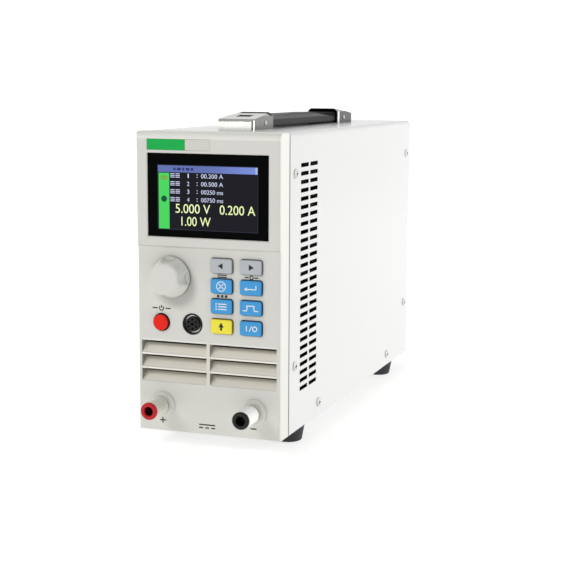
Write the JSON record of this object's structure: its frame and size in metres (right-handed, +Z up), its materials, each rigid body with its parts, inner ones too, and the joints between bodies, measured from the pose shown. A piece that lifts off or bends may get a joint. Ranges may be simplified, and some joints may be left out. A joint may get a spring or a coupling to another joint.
{
  "type": "dc electronic load",
  "caption": "Upright bench dc electronic load with a display, keypad, control knob, binding posts, front louvres, slotted cover, strap handle and rear fan.",
  "frame": {"origin": "on the ground under the middle of the object's box, at the underside of the feet", "axes": "+X to the right as seen from the front, +Y from the front to the rear, +Z up"},
  "size_m": [0.0904, 0.3104, 0.1939],
  "materials": {
    "bezel": "fine satin texture, warm light grey",
    "window": "polished black acrylic",
    "lcd": "dark panel in a metal bezel",
    "badge": "smooth green inlay",
    "plate": "plain grey inlay",
    "grey_key": "satin grey",
    "blue_key": "satin light blue",
    "yellow_key": "satin yellow",
    "circuit_board": "green solder mask",
    "switch": "dark moulded plastic",
    "zinc": "bright zinc plate",
    "knob": "satin light grey",
    "power": "glossy red",
    "socket": "black moulded plastic",
    "nickel": "nickel plate",
    "terminal_base": "light grey insulator",
    "plus_sleeve": "warm light grey sleeve",
    "minus_sleeve": "white sleeve",
    "plus_end": "glossy red",
    "minus_end": "glossy black",
    "copper": "bare copper",
    "chassis": "zinc-plated sheet steel",
    "rear": "light grey powder coat",
    "cover": "near-white powder coat",
    "screw": "bright nickel",
    "rubber": "black moulded rubber",
    "handle_chrome": "polished plated metal",
    "strap": "dark flexible strap",
    "fan": "black glass-filled plastic",
    "heat_sink": "mill-finish extrusion",
    "transistor": "black epoxy",
    "transformer": "varnished laminations and tape",
    "wire": "pvc insulation"
  },
  "bodies": {
    "case": {"front_bezel": "bezel", "display_window": "window", "lcd_module": "lcd", "green_badge": "badge", "label_plate": "plate", "front_board": "circuit_board", "panel_switches": "switch", "front_screws": "zinc", "encoder_body": "zinc", "sense_socket": "socket", "sense_shell": "nickel", "terminal_bases": "terminal_base", "plus_stud": "nickel", "minus_stud": "nickel", "terminal_nuts": "zinc", "busbars": "copper", "front_frame": "chassis", "base_tray": "chassis", "rear_panel": "rear", "top_cover": "cover", "case_screws": "screw", "rubber_feet": "rubber", "front_handle_cap": "handle_chrome", "rear_handle_cap": "handle_chrome", "handle_pins": "screw", "fan_frame": "fan", "fan_guard": "zinc", "rear_screws": "screw", "mains_inlet": "socket", "inlet_pins": "nickel", "serial_port": "zinc", "serial_jackscrews": "zinc", "heatsink_bracket": "chassis", "heatsink": "heat_sink", "transistors": "transistor", "power_board": "circuit_board", "board_standoffs": "zinc", "main_board": "circuit_board", "transformer": "transformer", "wiring": "wire"},
    "knob": {"control_knob": "knob", "encoder_shaft": "nickel"},
    "power": {"power_button": "power"},
    "strap": {"handle_strap": "strap"},
    "fan": {"fan_rotor": "fan"},
    "plus_thumb": {"plus_washer": "nickel", "plus_nut": "plus_sleeve", "plus_ring": "plus_end"},
    "minus_thumb": {"minus_washer": "nickel", "minus_nut": "minus_sleeve", "minus_ring": "minus_end"},
    "drawer": {"fuse_drawer": "socket"},
    "key_left_body": {"key_left": "grey_key"},
    "key_right_body": {"key_right": "grey_key"},
    "key_escape_body": {"key_escape": "blue_key"},
    "key_enter_body": {"key_enter": "blue_key"},
    "key_mode_body": {"key_mode": "blue_key"},
    "key_pulse_body": {"key_pulse": "blue_key"},
    "key_shift_body": {"key_shift": "yellow_key"},
    "key_output_body": {"key_output": "blue_key"}
  },
  "joints": [
    {"name": "knob_turn", "type": "hinge", "parent": "case", "child": "knob", "pos_m": [-0.0227, -0.1378, 0.1012], "axis": [0, -1, 0], "continuous": true},
    {"name": "power_press", "type": "slide", "parent": "case", "child": "power", "axis": [0, 1, 0], "range_m": [0, 0.002], "stiffness_N_per_m": 900},
    {"name": "strap_lift", "type": "slide", "parent": "case", "child": "strap", "axis": [0, 0, 1], "range_m": [0, 0.0008]},
    {"name": "fan_spin", "type": "hinge", "parent": "case", "child": "fan", "pos_m": [0, 0.1352, 0.1311], "axis": [0, 1, 0], "continuous": true},
    {"name": "plus_unscrew", "type": "hinge", "parent": "case", "child": "plus_thumb", "pos_m": [-0.0285, -0.1428, 0.0259], "axis": [0, -1, 0], "range_deg": [0, 1080]},
    {"name": "minus_unscrew", "type": "hinge", "parent": "case", "child": "minus_thumb", "pos_m": [0.0285, -0.1428, 0.0259], "axis": [0, -1, 0], "range_deg": [-720, 360]},
    {"name": "fuse_drawer_pull", "type": "slide", "parent": "case", "child": "drawer", "axis": [0, 1, 0], "range_m": [0, 0.014]},
    {"name": "key_left_press", "type": "slide", "parent": "case", "child": "key_left_body", "axis": [0, 1, 0], "range_m": [0, 0.001], "stiffness_N_per_m": 1500},
    {"name": "key_right_press", "type": "slide", "parent": "case", "child": "key_right_body", "axis": [0, 1, 0], "range_m": [0, 0.001], "stiffness_N_per_m": 1500},
    {"name": "key_escape_press", "type": "slide", "parent": "case", "child": "key_escape_body", "axis": [0, 1, 0], "range_m": [0, 0.001], "stiffness_N_per_m": 1500},
    {"name": "key_enter_press", "type": "slide", "parent": "case", "child": "key_enter_body", "axis": [0, 1, 0], "range_m": [0, 0.001], "stiffness_N_per_m": 1500},
    {"name": "key_mode_press", "type": "slide", "parent": "case", "child": "key_mode_body", "axis": [0, 1, 0], "range_m": [0, 0.001], "stiffness_N_per_m": 1500},
    {"name": "key_pulse_press", "type": "slide", "parent": "case", "child": "key_pulse_body", "axis": [0, 1, 0], "range_m": [0, 0.001], "stiffness_N_per_m": 1500},
    {"name": "key_shift_press", "type": "slide", "parent": "case", "child": "key_shift_body", "axis": [0, 1, 0], "range_m": [0, 0.001], "stiffness_N_per_m": 1500},
    {"name": "key_output_press", "type": "slide", "parent": "case", "child": "key_output_body", "axis": [0, 1, 0], "range_m": [0, 0.001], "stiffness_N_per_m": 1500}
  ]
}
